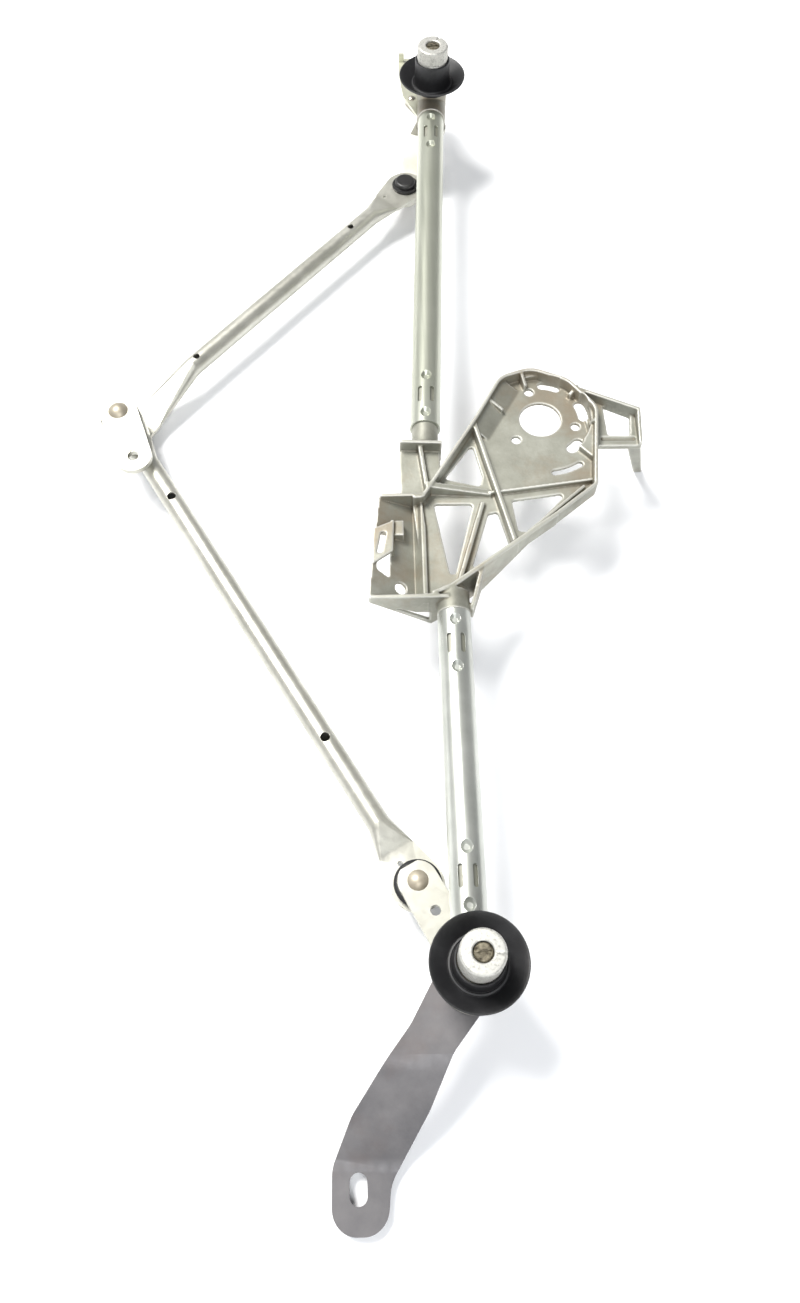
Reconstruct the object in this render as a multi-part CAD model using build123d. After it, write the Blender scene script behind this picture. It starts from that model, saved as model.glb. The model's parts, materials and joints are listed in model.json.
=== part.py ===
from build123d import *
import math
import os

# Windshield wiper linkage without its motor, in millimetres.
# X and Y are measured from the axis of the lower spindle, and Y runs to the upper spindle.
# Heights in this file are measured up from the plane that the linkage lies on. On export the
# part is lowered by HEAD_MID, so that the origin is at the middle of the lower drive head.

# --- pivots and levels -------------------------------------------------------------------------
SPINDLE_PITCH = 739.0
UPPER_SPINDLE = (0.0, SPINDLE_PITCH)
LOWER_SPINDLE = (0.0, 0.0)
LOWER_BALL = (-31.3, 57.1)
UPPER_BALL = (-24.3, 678.6)
DOUBLE_STUD = (-249.0, 422.3)
MOTOR_SHAFT = (-232.8, 377.4)
MOTOR_CENTRE = (67.1, 387.1)

HEAD_TOP = 116.0
HEAD_HEIGHT = 22.0
HEAD_BOTTOM = HEAD_TOP - HEAD_HEIGHT
HEAD_MID = HEAD_TOP - HEAD_HEIGHT / 2
HEAD_RADIUS = 12.9
HEAD_CHAMFER = 1.0
CROWN_BOTTOM = {"upper": 104.5, "lower": HEAD_BOTTOM}
SKIRT_RADIUS = 12.4
SPINDLE_RADIUS = 6.0
SPINDLE_TOP = 115.0
TIP_RADIUS = 5.2
TIP_BOTTOM = 111.0
TIP_HOLE_RADIUS = 5.8
PRESS_GAP = 0.02

# --- tubes and spigots -------------------------------------------------------------------------
TUBE_RADIUS = 11.0
TUBE_WALL = 1.5
TUBE_LEVEL = 64.0
SPIGOT_RADIUS = TUBE_RADIUS - TUBE_WALL - 0.08
SPIGOT_LENGTH = 62.0
TUBE_TILT = 2.72
UPPER_TUBE_START = 26.0
UPPER_TUBE_END = 359.0
LOWER_TUBE_X = -3.0
LOWER_TUBE_START = 26.0
LOWER_TUBE_END = 227.0
CRIMP_FROM_END = 25.0
CRIMP_PITCH = 34.0
DIMPLE_TIP = 1.8
DIMPLE_FLARE = 0.95
DIMPLE_SEAM = 50.0
DIMPLE_DEPTH = 2.6
CRIMP_SLOT = (14.0, 2.8)
CRIMP_SLOT_OFFSET = 4.4

# --- pivot housings and boots ------------------------------------------------------------------
BARREL_RADIUS = {"upper": 12.8, "lower": 15.5}
BARREL_BOTTOM = 41.6
BARREL_TOP = {"upper": 80.0, "lower": 78.0}
COLLAR_RADIUS = 12.0
FLANGE_RADIUS = 23.5
FLANGE_THICK = 4.0
BUSH_RADIUS = 8.5
BUSH_LENGTH = 12.0
BARREL_BORE = 7.2
RIB_SIZE = (4.0, 22.0, 8.0)
RIB_PLACES = ((-9.0, 15.0, -8.0), (9.0, 15.0, -8.0))
RUN_CLEARANCE = 0.05
BOOT_RADIUS = 28.0
BOOT_RIM = {"upper": 90.0, "lower": 86.5}
BOOT_COLLAR_TOP = {"upper": 103.8, "lower": 93.5}
RIVET_RADIUS = 2.5
RIVET_HEAD_RADIUS = 3.4
RIVET_CIRCLE = 20.0
LOWER_RIVET_ANGLES = (160.0, 230.0, 330.0)
UPPER_RIVETS = ((-17.0, 749.0), (-14.5, 768.0), (2.0, 768.0))

# --- sheet levels ------------------------------------------------------------------------------
ARM_LEVEL = 50.0
ARM_END_LEVEL = 8.0
ARM_SHEET = 2.5
ARM_FLANGE = 8.0
ARM_SLOT = ((-69.5, -106.7), (-69.3, -113.8))
ARM_SLOT_WIDTH = 10.2
LUG_LEVEL = 60.5
LUG_HOLE = (-8.0, 787.0)
LUG_HOLE_RADIUS = 5.0
CRANK_TOP = 40.5
CRANK_SHEET = 4.0
LOW_CRANK_TOP = 18.5
HUB_RADIUS = 13.5
CRANK_END_RADIUS = 12.5
CRANK_END_CUT = 11.0
CRANK_HOLE_RADIUS = 3.2
CRANK_HOLE_FROM_BALL = 21.0
MOTOR_CRANK_RISE = 3.0
MOTOR_CRANK_RADIUS = 14.2
MOTOR_HUB_PAD = 15.5
MOTOR_SHAFT_RADIUS = 4.1

# --- ball joints and link rods -----------------------------------------------------------------
BALL_RADIUS = 6.5
BALL_NECK = 4.0
LOWER_JOINT = 28.0
UPPER_JOINT = 25.0
OPEN_JOINT = 11.5
OPEN_BALL_RADIUS = 6.0
OPEN_CLEARANCE = 2.8
CUP_WALL = 2.0
OPEN_CENTRE = (DOUBLE_STUD[0] + 0.2, DOUBLE_STUD[1] - 2.4)
ROD_FLAT = 3.0
ROD_END_RADIUS = 17.0
ROD_WIDTH = 15.0
ROD_CORNER = 7.3
ROD_BORE = 6.0
ROD_NECK = 50.0
ROD_FLAT_END = 25.0
ROD_ROUND_START = 46.0
ROD_KINK = 76.0
DRAIN_RADIUS = {"lower": 3.2, "upper": 2.6}
DRAIN_STATIONS = {"lower": (113.0, 337.0), "upper": (73.0, 260.0)}
PILOT_RADIUS = 1.7
PILOT_PLACE = {"lower": (16.9, 2.1), "upper": (21.5, -5.0)}
SOCKET_RADIUS = 10.0
SOCKET_FLANGE = 14.4

# --- motor bracket -----------------------------------------------------------------------------
WEB_BOTTOM = 62.0
WEB_TOP = 65.0
RIM_TOP = 75.0
RIM_WALL = 2.6
RIB_WALL = 3.0
MOTOR_HOLE_RADIUS = 15.0
MOTOR_BOLT_RADIUS = 3.3
MOTOR_BOLT_CIRCLE = 26.0
MOTOR_BOLT_ANGLES = (104.0, 224.0, 344.0)
PLATE_FALL = (16.8, 34.5)
PLATE_SLOPE = math.degrees(math.atan2(*PLATE_FALL))
PLATE_EDGE = (-62.0, 77.0)
PLATE_THICK = 3.3
PLATE_HOLE = (-38.0, 247.8)
PLATE_HOLE_RADIUS = 4.3


# --- small helpers -----------------------------------------------------------------------------
def polar(centre, radius, degrees):
    """A point at a radius and an angle from a centre."""
    angle = math.radians(degrees)
    return (centre[0] + radius * math.cos(angle), centre[1] + radius * math.sin(angle))


def heading(start, end):
    """The length and direction in degrees from one point to another."""
    length = math.hypot(end[0] - start[0], end[1] - start[1])
    return length, math.degrees(math.atan2(end[1] - start[1], end[0] - start[0]))


def disc(radius, bottom, top, at=(0, 0)):
    """An upright cylinder between two heights."""
    return Pos(at[0], at[1], (bottom + top) / 2) * Cylinder(radius, top - bottom)


def ring(outer, inner, bottom, top, at=(0, 0)):
    """An upright tube between two heights."""
    return disc(outer, bottom, top, at) - disc(inner, bottom - 1, top + 1, at)


def through(radius, at=(0, 0)):
    """A cutter for an upright hole right through a piece."""
    return disc(radius, -5, HEAD_TOP + 5, at)


def slab(face, bottom, top):
    """A flat plate with the outline of a face drawn in the XY plane."""
    return Pos(0, 0, bottom) * extrude(face, top - bottom)


def rounded(points, radius):
    """A face inside a closed line of points with rounded corners; radius may be a list."""
    return make_face(FilletPolyline(*points, radius=radius, close=True))


def capsule(start, end, start_radius, end_radius):
    """A face around two discs and the straight sides that touch both."""
    span, turn = heading(start, end)
    lean = math.asin((start_radius - end_radius) / span)
    touch = []
    for side in (1, -1):
        across = (math.sin(lean), side * math.cos(lean))
        touch.append((start_radius * across[0], start_radius * across[1]))
        touch.append((span + end_radius * across[0], end_radius * across[1]))
    sides = make_face(Polyline(touch[0], touch[1], touch[3], touch[2], close=True))
    face = sides + Circle(start_radius) + Pos(span, 0) * Circle(end_radius)
    return Pos(start[0], start[1]) * Rot(0, 0, turn) * face


def bent_slab(line, thick, width):
    """A wide sheet that follows a line of (x, z) points along X; thick is measured upright."""
    top = [(x, z) for x, z in line]
    bottom = [(x, z - thick) for x, z in reversed(line)]
    section = make_face(Plane.XZ * Polyline(*top, *bottom, close=True))
    return extrude(section, width, both=True)


def upright(start, turn, thick, corners):
    """An upright plate; corners are (distance, height) points from its start."""
    side = make_face(Plane.XZ * Polyline(*corners, close=True))
    return Pos(start[0], start[1], 0) * Rot(0, 0, turn) * extrude(side, thick / 2, both=True)


def wall(start, end, thick, bottom, tops):
    """An upright wall between two points; tops gives its height at the start and at the end."""
    span, turn = heading(start, end)
    return upright(start, turn, thick, [(0, bottom), (span, bottom), (span, tops[1]), (0, tops[0])])


def domed_head(radius, height, bottom, at):
    """A low round rivet head."""
    sphere_radius = (radius**2 + height**2) / (2 * height)
    cap = Pos(at[0], at[1], bottom + height - sphere_radius) * Sphere(sphere_radius)
    return cap & disc(radius + 1, bottom, bottom + height + 1, at)


# --- tubes -------------------------------------------------------------------------------------
# Tubes and spigots are drawn along +Y from an end at Y = 0 and then placed.
def lower_tube_place():
    """Where the lower tube's own Y line lies."""
    return Pos(LOWER_TUBE_X, 0, TUBE_LEVEL)


def upper_tube_place():
    """Where the upper tube's own Y line lies, running back from the upper spindle."""
    return Pos(UPPER_SPINDLE[0], UPPER_SPINDLE[1], TUBE_LEVEL) * Rot(0, 0, 180 - TUBE_TILT)


def along_y(radius, start, end):
    """A cylinder along Y between two stations."""
    return Pos(0, (start + end) / 2, 0) * Rot(90, 0, 0) * Cylinder(radius, end - start)


def crimp_stations(start, end):
    """The stations of the dimples at both ends of a tube."""
    near = start + CRIMP_FROM_END - CRIMP_PITCH / 2
    far = end - CRIMP_FROM_END - CRIMP_PITCH / 2
    return [near, near + CRIMP_PITCH, far, far + CRIMP_PITCH]


def dimple(station, grow=0.0):
    """The blunt cone that presses a dimple into the top of a tube."""
    bottom = TUBE_RADIUS - DIMPLE_DEPTH - grow
    height = DIMPLE_DEPTH + grow + 2.0
    tip = DIMPLE_TIP + grow / 2
    cone = Cone(tip, tip + height * DIMPLE_FLARE, height)
    return Pos(0, station, bottom + height / 2) * Rot(0, 0, DIMPLE_SEAM) * cone


def crimp_slots(station):
    """The two windows stamped between a pair of dimples, as cutting bars."""
    bar = SlotOverall(*CRIMP_SLOT, rotation=90)
    bars = []
    for side in (-1, 1):
        bars.append(Pos(side * CRIMP_SLOT_OFFSET, station, 6) * extrude(bar, 8))
    return bars


def tube(start, end):
    """A steel tube with a crimp of two dimples and two windows at each end."""
    body = along_y(TUBE_RADIUS, start, end)
    inside = along_y(TUBE_RADIUS - TUBE_WALL, start - 1, end + 1)
    stations = crimp_stations(start, end)
    for station in stations:
        inside -= dimple(station, TUBE_WALL)
    body -= inside
    for station in stations:
        body -= dimple(station)
    for station in stations[::2]:
        for bar in crimp_slots(station + CRIMP_PITCH / 2):
            body -= bar
    return body


def spigot(start, end, tube_end, inward):
    """A round spigot with pockets under the crimp of the tube that is pushed over it."""
    body = along_y(SPIGOT_RADIUS, start, end)
    middle = tube_end + inward * CRIMP_FROM_END
    for side in (-1, 1):
        body -= dimple(middle + side * CRIMP_PITCH / 2, TUBE_WALL + 0.1)
    return body


def upper_tube():
    """The long tube, from the upper housing to the bracket."""
    return upper_tube_place() * tube(UPPER_TUBE_START, UPPER_TUBE_END)


def lower_tube():
    """The short tube, from the lower housing to the bracket."""
    return lower_tube_place() * tube(LOWER_TUBE_START, LOWER_TUBE_END)


# --- pivot housings, bushes and boots -----------------------------------------------------------
def pivot_housing(end, tube_start, place, flange_bottom):
    """A cast barrel on the spindle axis, with a spigot for its tube and a riveting flange."""
    top = BARREL_TOP[end]
    centre = LOWER_SPINDLE if end == "lower" else UPPER_SPINDLE
    body = disc(BARREL_RADIUS[end], BARREL_BOTTOM, top, centre)
    body += slab(flange_face(end), flange_bottom, flange_bottom + FLANGE_THICK)
    body += place * along_y(COLLAR_RADIUS, 0, tube_start - 0.3)
    body += place * spigot(0, tube_start + SPIGOT_LENGTH, tube_start, 1)
    for at in RIB_PLACES:
        body += place * Pos(*at) * Box(*RIB_SIZE)
    body -= disc(BARREL_BORE, BARREL_BOTTOM - 1, top + 1, centre)
    body -= disc(BUSH_RADIUS, BARREL_BOTTOM - 1, BARREL_BOTTOM + BUSH_LENGTH, centre)
    body -= disc(BUSH_RADIUS, top - BUSH_LENGTH, top + 1, centre)
    for at in rivet_points(end):
        body -= disc(RIVET_RADIUS, flange_bottom - 1, flange_bottom + FLANGE_THICK + 1, at)
    return body


def flange_face(end):
    """The riveting flange: round at the lower end, an ear to one side at the upper end."""
    if end == "lower":
        return Circle(FLANGE_RADIUS)
    points = [(-10.0, 727.0), (-23.0, 748.0), (-21.0, 774.0), (8.0, 774.0), (11.5, 740.0)]
    return rounded(points, 4)


def rivet_points(end):
    """The places of the rivets that hold the stamped piece of one end."""
    if end == "upper":
        return UPPER_RIVETS
    return [polar(LOWER_SPINDLE, RIVET_CIRCLE, angle) for angle in LOWER_RIVET_ANGLES]


def bush(bottom, centre):
    """A plain bearing bush, a running fit on its spindle."""
    return ring(BUSH_RADIUS - 0.02, SPINDLE_RADIUS + RUN_CLEARANCE, bottom, bottom + BUSH_LENGTH, centre)


def boot(end):
    """A rubber funnel that catches water around the spindle, with a bead and a tall collar."""
    rim = BOOT_RIM[end]
    floor = BARREL_TOP[end] + 1.0
    collar_top = BOOT_COLLAR_TOP[end]
    centre = LOWER_SPINDLE if end == "lower" else UPPER_SPINDLE
    skirt = BARREL_RADIUS[end]
    section = make_face(
        Plane.XZ
        * Polyline(
            (skirt + 0.05, floor - 2.6),
            (skirt + 2.4, floor - 2.6),
            (skirt + 2.8, floor - 1.0),
            (BOOT_RADIUS - 0.3, rim - 1.5),
            (BOOT_RADIUS, rim - 0.6),
            (BOOT_RADIUS - 0.5, rim),
            (BOOT_RADIUS - 1.3, rim - 0.2),
            (17.6, floor + 1.2),
            (17.2, floor + 2.0),
            (16.2, floor + 2.2),
            (15.6, floor + 1.6),
            (15.0, floor + 2.4),
            (14.6, collar_top - 0.8),
            (14.2, collar_top),
            (HEAD_RADIUS + 0.35, collar_top),
            (HEAD_RADIUS + 0.35, BARREL_TOP[end] + 0.05),
            (skirt + 0.05, BARREL_TOP[end] + 0.05),
            close=True,
        )
    )
    return Pos(centre[0], centre[1], 0) * revolve(section, Axis.Z)


# --- stamped mounting pieces --------------------------------------------------------------------
def arm_outline(inset=0.0):
    """The outline of the mounting arm, or the same line moved inwards."""
    points = [
        (-24.0, -2.0),
        (-38.0, -27.0),
        (-53.0, -46.5),
        (-72.5, -73.0),
        (-84.5, -99.0),
        (-84.5, -134.0),
        (-53.0, -134.0),
        (-51.0, -108.0),
        (-28.0, -71.0),
        (-14.0, -42.0),
        (4.0, -20.0),
    ]
    face = rounded(points, [3, 30, 30, 30, 20, 14.5, 14.5, 24, 30, 30, 3])
    if inset:
        face = offset(face, -inset)
    return face


def arm_fold(thick):
    """The bent sheet of the arm, level at the housing and level again at the slot."""
    low = ARM_END_LEVEL
    high = ARM_LEVEL
    line = [(-150, low), (-101, low), (-94, low + 2.5), (-52, high - 4.5), (-43, high), (40, high)]
    return Rot(0, 0, 90) * bent_slab(line, thick, 120)


def mounting_arm():
    """The stamped arm that holds the lower end, with turned-down edges and a slotted eye."""
    top = arm_fold(ARM_SHEET) & slab(arm_outline(), -10, 70)
    edge = arm_fold(ARM_FLANGE) & (slab(arm_outline(), -10, 70) - slab(arm_outline(ARM_SHEET), -10, 70))
    edge -= disc(FLANGE_RADIUS + 3, 0, 80)
    eye = disc(FLANGE_RADIUS, ARM_LEVEL - ARM_SHEET, ARM_LEVEL)
    body = top + edge + eye
    body -= through(BARREL_RADIUS["lower"] + 0.1)
    body -= slab(slot_face(ARM_SLOT, ARM_SLOT_WIDTH), -5, 30)
    for at in rivet_points("lower"):
        body -= through(RIVET_RADIUS, at)
    return body


def slot_face(ends, width):
    """A slot around two centres."""
    return capsule(ends[0], ends[1], width / 2, width / 2 - 0.001)


def rivets(end, bottom, top):
    """Round-headed rivets through a flange and the sheet on it."""
    group = []
    for at in rivet_points(end):
        shank = disc(RIVET_RADIUS - 0.03, bottom - 1.4, top + 0.5, at)
        foot = disc(RIVET_HEAD_RADIUS, bottom - 1.4, bottom - 0.02, at)
        group.append(shank + foot + domed_head(RIVET_HEAD_RADIUS, 1.6, top + 0.02, at))
    return Compound(children=group)


def upper_mounting_lug():
    """The stamped lug beyond the upper spindle, with a hole and a small hooked corner."""
    points = [
        (-12.6, 726.0),
        (-24.5, 752.0),
        (-27.4, 782.0),
        (-27.4, 804.0),
        (6.0, 802.0),
        (11.0, 772.0),
        (11.5, 745.0),
        (9.0, 726.0),
    ]
    bottom = LUG_LEVEL - ARM_SHEET
    body = slab(rounded(points, [2, 20, 10, 4, 14, 10, 10, 2]), bottom, LUG_LEVEL)
    hook = Pos(-25.0, 800.0, LUG_LEVEL + 3) * Box(4.8, 2.0, 8)
    body += hook
    body -= through(BARREL_RADIUS["upper"] + 0.1, UPPER_SPINDLE)
    body -= upper_tube_place() * along_y(COLLAR_RADIUS + 0.5, 0, 40)
    body -= through(LUG_HOLE_RADIUS, LUG_HOLE)
    for at in rivet_points("upper"):
        body -= through(RIVET_RADIUS, at)
    return body


# --- spindles and drive heads --------------------------------------------------------------------
def spindle(centre):
    """A steel spindle, peened over below its crank, with a slotted top end."""
    body = disc(SPINDLE_RADIUS, CRANK_TOP - CRANK_SHEET - 3.5, TIP_BOTTOM, centre)
    body += disc(TIP_RADIUS, TIP_BOTTOM, SPINDLE_TOP, centre)
    foot = CRANK_TOP - CRANK_SHEET - 0.02
    body += disc(SPINDLE_RADIUS + 2.5, foot - 2.5, foot, centre)
    body = chamfer(body.edges().sort_by(Axis.Z)[-1], 0.6)
    body -= Pos(centre[0], centre[1], SPINDLE_TOP) * Rot(0, 0, 8) * Box(14, 1.3, 2.0)
    return body


def drive_head(end, notch_angle):
    """The round head that carries the wiper arm, open at the top around the spindle end."""
    centre = LOWER_SPINDLE if end == "lower" else UPPER_SPINDLE
    body = disc(HEAD_RADIUS, CROWN_BOTTOM[end], HEAD_TOP, centre)
    body = chamfer(body.edges().sort_by(Axis.Z)[-1], HEAD_CHAMFER)
    if end == "upper":
        body += disc(SKIRT_RADIUS, HEAD_BOTTOM, CROWN_BOTTOM[end] + 1, centre)
    body -= disc(SPINDLE_RADIUS + PRESS_GAP, HEAD_BOTTOM - 1, TIP_BOTTOM + 0.1, centre)
    body -= disc(TIP_HOLE_RADIUS, TIP_BOTTOM, HEAD_TOP + 1, centre)
    notch = Pos(HEAD_RADIUS, 0, HEAD_TOP - 1.0) * Rot(0, 0, 45) * Box(2.2, 2.2, 4.4)
    return body - Pos(centre[0], centre[1], 0) * Rot(0, 0, notch_angle) * notch


def washer(centre, bottom, thick, radius):
    """A flat washer on the spindle."""
    return ring(radius, SPINDLE_RADIUS + 0.03, bottom, bottom + thick, centre)


def retaining_ring(centre, bottom):
    """An open spring ring on the spindle."""
    body = ring(SPINDLE_RADIUS + 2.6, SPINDLE_RADIUS + 0.03, bottom, bottom + 1.2, centre)
    return body - Pos(centre[0] + SPINDLE_RADIUS + 2, centre[1], bottom + 0.6) * Box(8, 4, 3)


# --- cranks and ball studs -----------------------------------------------------------------------
def flat_crank(start, end):
    """The lower crank, a flat plate with a blunt end and a hole part of the way along."""
    face = capsule(start, end, HUB_RADIUS, CRANK_END_RADIUS)
    body = slab(face, CRANK_TOP - CRANK_SHEET, CRANK_TOP)
    turn = heading(end, start)[1]
    beyond = Pos(end[0], end[1], CRANK_TOP) * Rot(0, 0, turn) * Pos(-CRANK_END_CUT - 5, 0, 0)
    body -= beyond * Box(10, 40, 20)
    body -= through(SPINDLE_RADIUS + PRESS_GAP, start)
    body -= through(BALL_NECK + PRESS_GAP, end)
    body -= through(CRANK_HOLE_RADIUS, polar(end, CRANK_HOLE_FROM_BALL, turn))
    return body


def joggled_crank(start, end):
    """The upper crank, which drops below its tube before it reaches the rod."""
    length, turn = heading(start, end)
    line = [(-20, CRANK_TOP), (17, CRANK_TOP), (46, LOW_CRANK_TOP), (length + 20, LOW_CRANK_TOP)]
    body = bent_slab(line, CRANK_SHEET, 40)
    body = Pos(start[0], start[1], 0) * Rot(0, 0, turn) * body
    body &= slab(capsule(start, end, HUB_RADIUS, CRANK_END_RADIUS), 0, 60)
    body -= through(SPINDLE_RADIUS + PRESS_GAP, start)
    body -= through(BALL_NECK + PRESS_GAP, end)
    return body


def ball_stud(centre, level, plate_bottom, upward):
    """A ball on a neck that is riveted through a crank; the ball hangs below or stands above."""
    body = Pos(centre[0], centre[1], level) * Sphere(BALL_RADIUS)
    if upward:
        low = plate_bottom - 2.4
        body += disc(BALL_NECK, plate_bottom - 0.5, level, centre)
        body += disc(BALL_RADIUS, low, plate_bottom - 0.02, centre)
    else:
        top = plate_bottom + CRANK_SHEET
        body += disc(BALL_NECK, level, top + 1, centre)
        body += domed_head(BALL_RADIUS, 3.4, top + 0.02, centre)
    return body


# --- link rods -----------------------------------------------------------------------------------
# A rod is drawn along X from its first ball. It is a nearly round tube, crushed flat at both ends.
def rod_section(station, level, width, height, corner):
    """A rounded cross-section of a rod, square to X."""
    plane = Plane(origin=(station, 0, level), x_dir=(0, 1, 0), z_dir=(1, 0, 0))
    return plane * RectangleRounded(width, height, corner)


def tube_section(station, level):
    """The nearly round section of a rod."""
    return rod_section(station, level, ROD_WIDTH, ROD_WIDTH, ROD_CORNER)


def flat_section(station, level):
    """The crushed section of a rod, as wide as its end plate is there."""
    lean = math.asin((ROD_END_RADIUS - ROD_WIDTH / 2) / ROD_NECK)
    half = (ROD_END_RADIUS - ROD_FLAT_END * math.sin(lean)) / math.cos(lean)
    return rod_section(station, level, 2 * half, ROD_FLAT, ROD_FLAT / 2 - 0.1)


def rod_end_plate(level):
    """The flat round end of a rod around its ball, up to where the neck starts."""
    face = capsule((0, 0), (ROD_NECK, 0), ROD_END_RADIUS, ROD_WIDTH / 2)
    face &= Pos(ROD_FLAT_END / 2 - 50, 0) * Rectangle(ROD_FLAT_END + 100, 60)
    return slab(face, level - ROD_FLAT / 2, level + ROD_FLAT / 2)


def link_rod(end_points, levels, drop_from_end, which, hole_radii):
    """A tubular link with crushed ends; levels are its heights at the first and the last ball."""
    start = end_points[0]
    length, turn = heading(*end_points)
    round_end = length - drop_from_end
    body = extrude(tube_section(ROD_ROUND_START, levels[0]), round_end - ROD_ROUND_START)
    body += loft([flat_section(ROD_FLAT_END, levels[0]), tube_section(ROD_ROUND_START, levels[0])])
    body += loft([tube_section(round_end, levels[0]), flat_section(length - ROD_FLAT_END, levels[1])])
    body += rod_end_plate(levels[0])
    body += Pos(length, 0, 0) * Rot(0, 0, 180) * rod_end_plate(levels[1])
    bore = Rot(0, 90, 0) * Cylinder(ROD_BORE, round_end - ROD_ROUND_START)
    body -= Pos((ROD_ROUND_START + round_end) / 2, 0, levels[0]) * bore
    for station in DRAIN_STATIONS[which]:
        body -= disc(DRAIN_RADIUS[which], levels[0], levels[0] + ROD_WIDTH, (station, 0))
    body -= through(PILOT_RADIUS, PILOT_PLACE[which])
    for station, radius in zip((0, length), hole_radii):
        body -= through(radius, (station, 0))
    return Pos(start[0], start[1], 0) * Rot(0, 0, turn) * body


def open_socket(centre, level, through):
    """A plastic socket in the hole of a rod, open at the top and, where needed, right through."""
    web_top = level + ROD_FLAT / 2
    body = disc(SOCKET_RADIUS, level - 7.4, web_top + 2.5, centre)
    body += disc(SOCKET_FLANGE, web_top + 0.02, web_top + 2.5, centre)
    body = chamfer(body.edges().sort_by(Axis.Z)[0], 1.0)
    body -= Pos(centre[0], centre[1], level) * Sphere(BALL_RADIUS + RUN_CLEARANCE)
    body -= disc(BALL_RADIUS - 0.9, level, web_top + 5, centre)
    if through:
        body -= disc(BALL_RADIUS - 1.5, level - 9, level, centre)
    return body


def capped_socket(centre, level):
    """A plastic socket with a closed domed cap above the rod, open below for the ball."""
    web_top = level + ROD_FLAT / 2
    body = disc(SOCKET_RADIUS, level - 5.0, web_top + 1, centre)
    body += disc(SOCKET_RADIUS + 1.2, web_top + 0.02, web_top + 2.2, centre)
    cap = disc(SOCKET_RADIUS - 1.4, web_top + 1, web_top + 6.6, centre)
    body += fillet(cap.edges().sort_by(Axis.Z)[-1], 2.0)
    body -= Pos(centre[0], centre[1], level) * Sphere(BALL_RADIUS + RUN_CLEARANCE)
    body -= disc(BALL_RADIUS - 0.9, level - 8, level, centre)
    return body


def loose_socket(centre, level):
    """The cup under the double stud; its wide bore leaves the ball room to wander."""
    inner = OPEN_BALL_RADIUS + OPEN_CLEARANCE
    body = disc(inner + CUP_WALL, 0.0, level + 4.5, centre)
    body += disc(SOCKET_FLANGE, level + ROD_FLAT / 2 + 0.02, level + 3.0, centre)
    body = chamfer(body.edges().sort_by(Axis.Z)[0], 1.0)
    body -= disc(inner, level - OPEN_BALL_RADIUS - 0.6, level + 9, centre)
    return body


def dust_seal(centre, bottom, top):
    """A soft ring that closes the gap between a socket and its crank."""
    section = make_face(
        Plane.XZ
        * Polyline(
            (BALL_RADIUS - 0.6, bottom),
            (SOCKET_FLANGE, bottom),
            (SOCKET_FLANGE + 0.6, bottom + 1.6),
            (SOCKET_FLANGE - 1.4, bottom + 3.0),
            (BALL_NECK + 3.0, top),
            (BALL_NECK + 0.5, top),
            close=True,
        )
    )
    return Pos(centre[0], centre[1], 0) * revolve(section, Axis.Z)


# --- motor crank ---------------------------------------------------------------------------------
def motor_crank():
    """The crank of the missing motor, with a round raised pad at its hub and a keyed shaft hole."""
    length, turn = heading(DOUBLE_STUD, MOTOR_SHAFT)
    bottom = CRANK_TOP - CRANK_SHEET
    high = CRANK_TOP + MOTOR_CRANK_RISE
    face = capsule((0, 0), (length, 0), MOTOR_CRANK_RADIUS, MOTOR_CRANK_RADIUS - 0.7)
    pad = Pos(length, 0) * Circle(MOTOR_HUB_PAD)
    body = slab(face - pad, bottom, CRANK_TOP)
    pad_rim = Pos(length, 0) * Circle(MOTOR_HUB_PAD + 1.4)
    body += slab(face & pad_rim, bottom + MOTOR_CRANK_RISE, CRANK_TOP)
    body += slab(face & pad, bottom + MOTOR_CRANK_RISE, high)
    body -= through(BALL_NECK + PRESS_GAP)
    body -= through(MOTOR_SHAFT_RADIUS, (length, 0))
    body -= Pos(length - MOTOR_SHAFT_RADIUS, 0, high - 0.4) * Box(3.6, 1.4, 1.0)
    return Pos(DOUBLE_STUD[0], DOUBLE_STUD[1], 0) * Rot(0, 0, turn) * body


def double_ball_stud():
    """One stud with two balls, riveted to the motor crank and reaching through both rods."""
    body = Pos(DOUBLE_STUD[0], DOUBLE_STUD[1], LOWER_JOINT) * Sphere(BALL_RADIUS)
    body += Pos(DOUBLE_STUD[0], DOUBLE_STUD[1], OPEN_JOINT) * Sphere(OPEN_BALL_RADIUS)
    body += disc(BALL_NECK - 0.6, OPEN_JOINT, LOWER_JOINT, DOUBLE_STUD)
    body += disc(BALL_NECK, LOWER_JOINT, CRANK_TOP + 1, DOUBLE_STUD)
    body += domed_head(BALL_RADIUS + 0.9, 4.2, CRANK_TOP + 0.02, DOUBLE_STUD)
    return body


# --- motor bracket -------------------------------------------------------------------------------
def tray_outline():
    """The rim line of the tray around the truss and the motor plate."""
    points = [
        (-21.0, 235.5),
        (-3.5, 243.0),
        (71.5, 298.4),
        (101.0, 322.5),
        (108.5, 391.0),
        (89.0, 417.0),
        (62.0, 428.5),
        (38.5, 420.5),
        (18.3, 383.2),
        (-21.9, 316.5),
        (-28.0, 316.5),
    ]
    return rounded(points, [2, 12, 30, 5, 15, 20, 20, 18, 60, 3, 2])


def window(points):
    """A truss window with rounded corners, as a cutter."""
    return slab(rounded(points, 2.2), WEB_BOTTOM - 5, WEB_TOP + 5)


def truss_windows():
    """The four openings of the truss."""
    return [
        window([(16.3, 366.5), (-5.0, 336.0), (20.3, 329.0), (22.2, 337.5)]),
        window([(-13.0, 315.0), (14.3, 314.3), (-2.7, 249.5)]),
        window([(41.5, 316.8), (81.0, 322.3), (51.5, 290.5), (44.5, 291.5)]),
        window([(24.5, 306.0), (31.0, 307.5), (37.8, 278.8), (10.0, 259.5)]),
    ]


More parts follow.
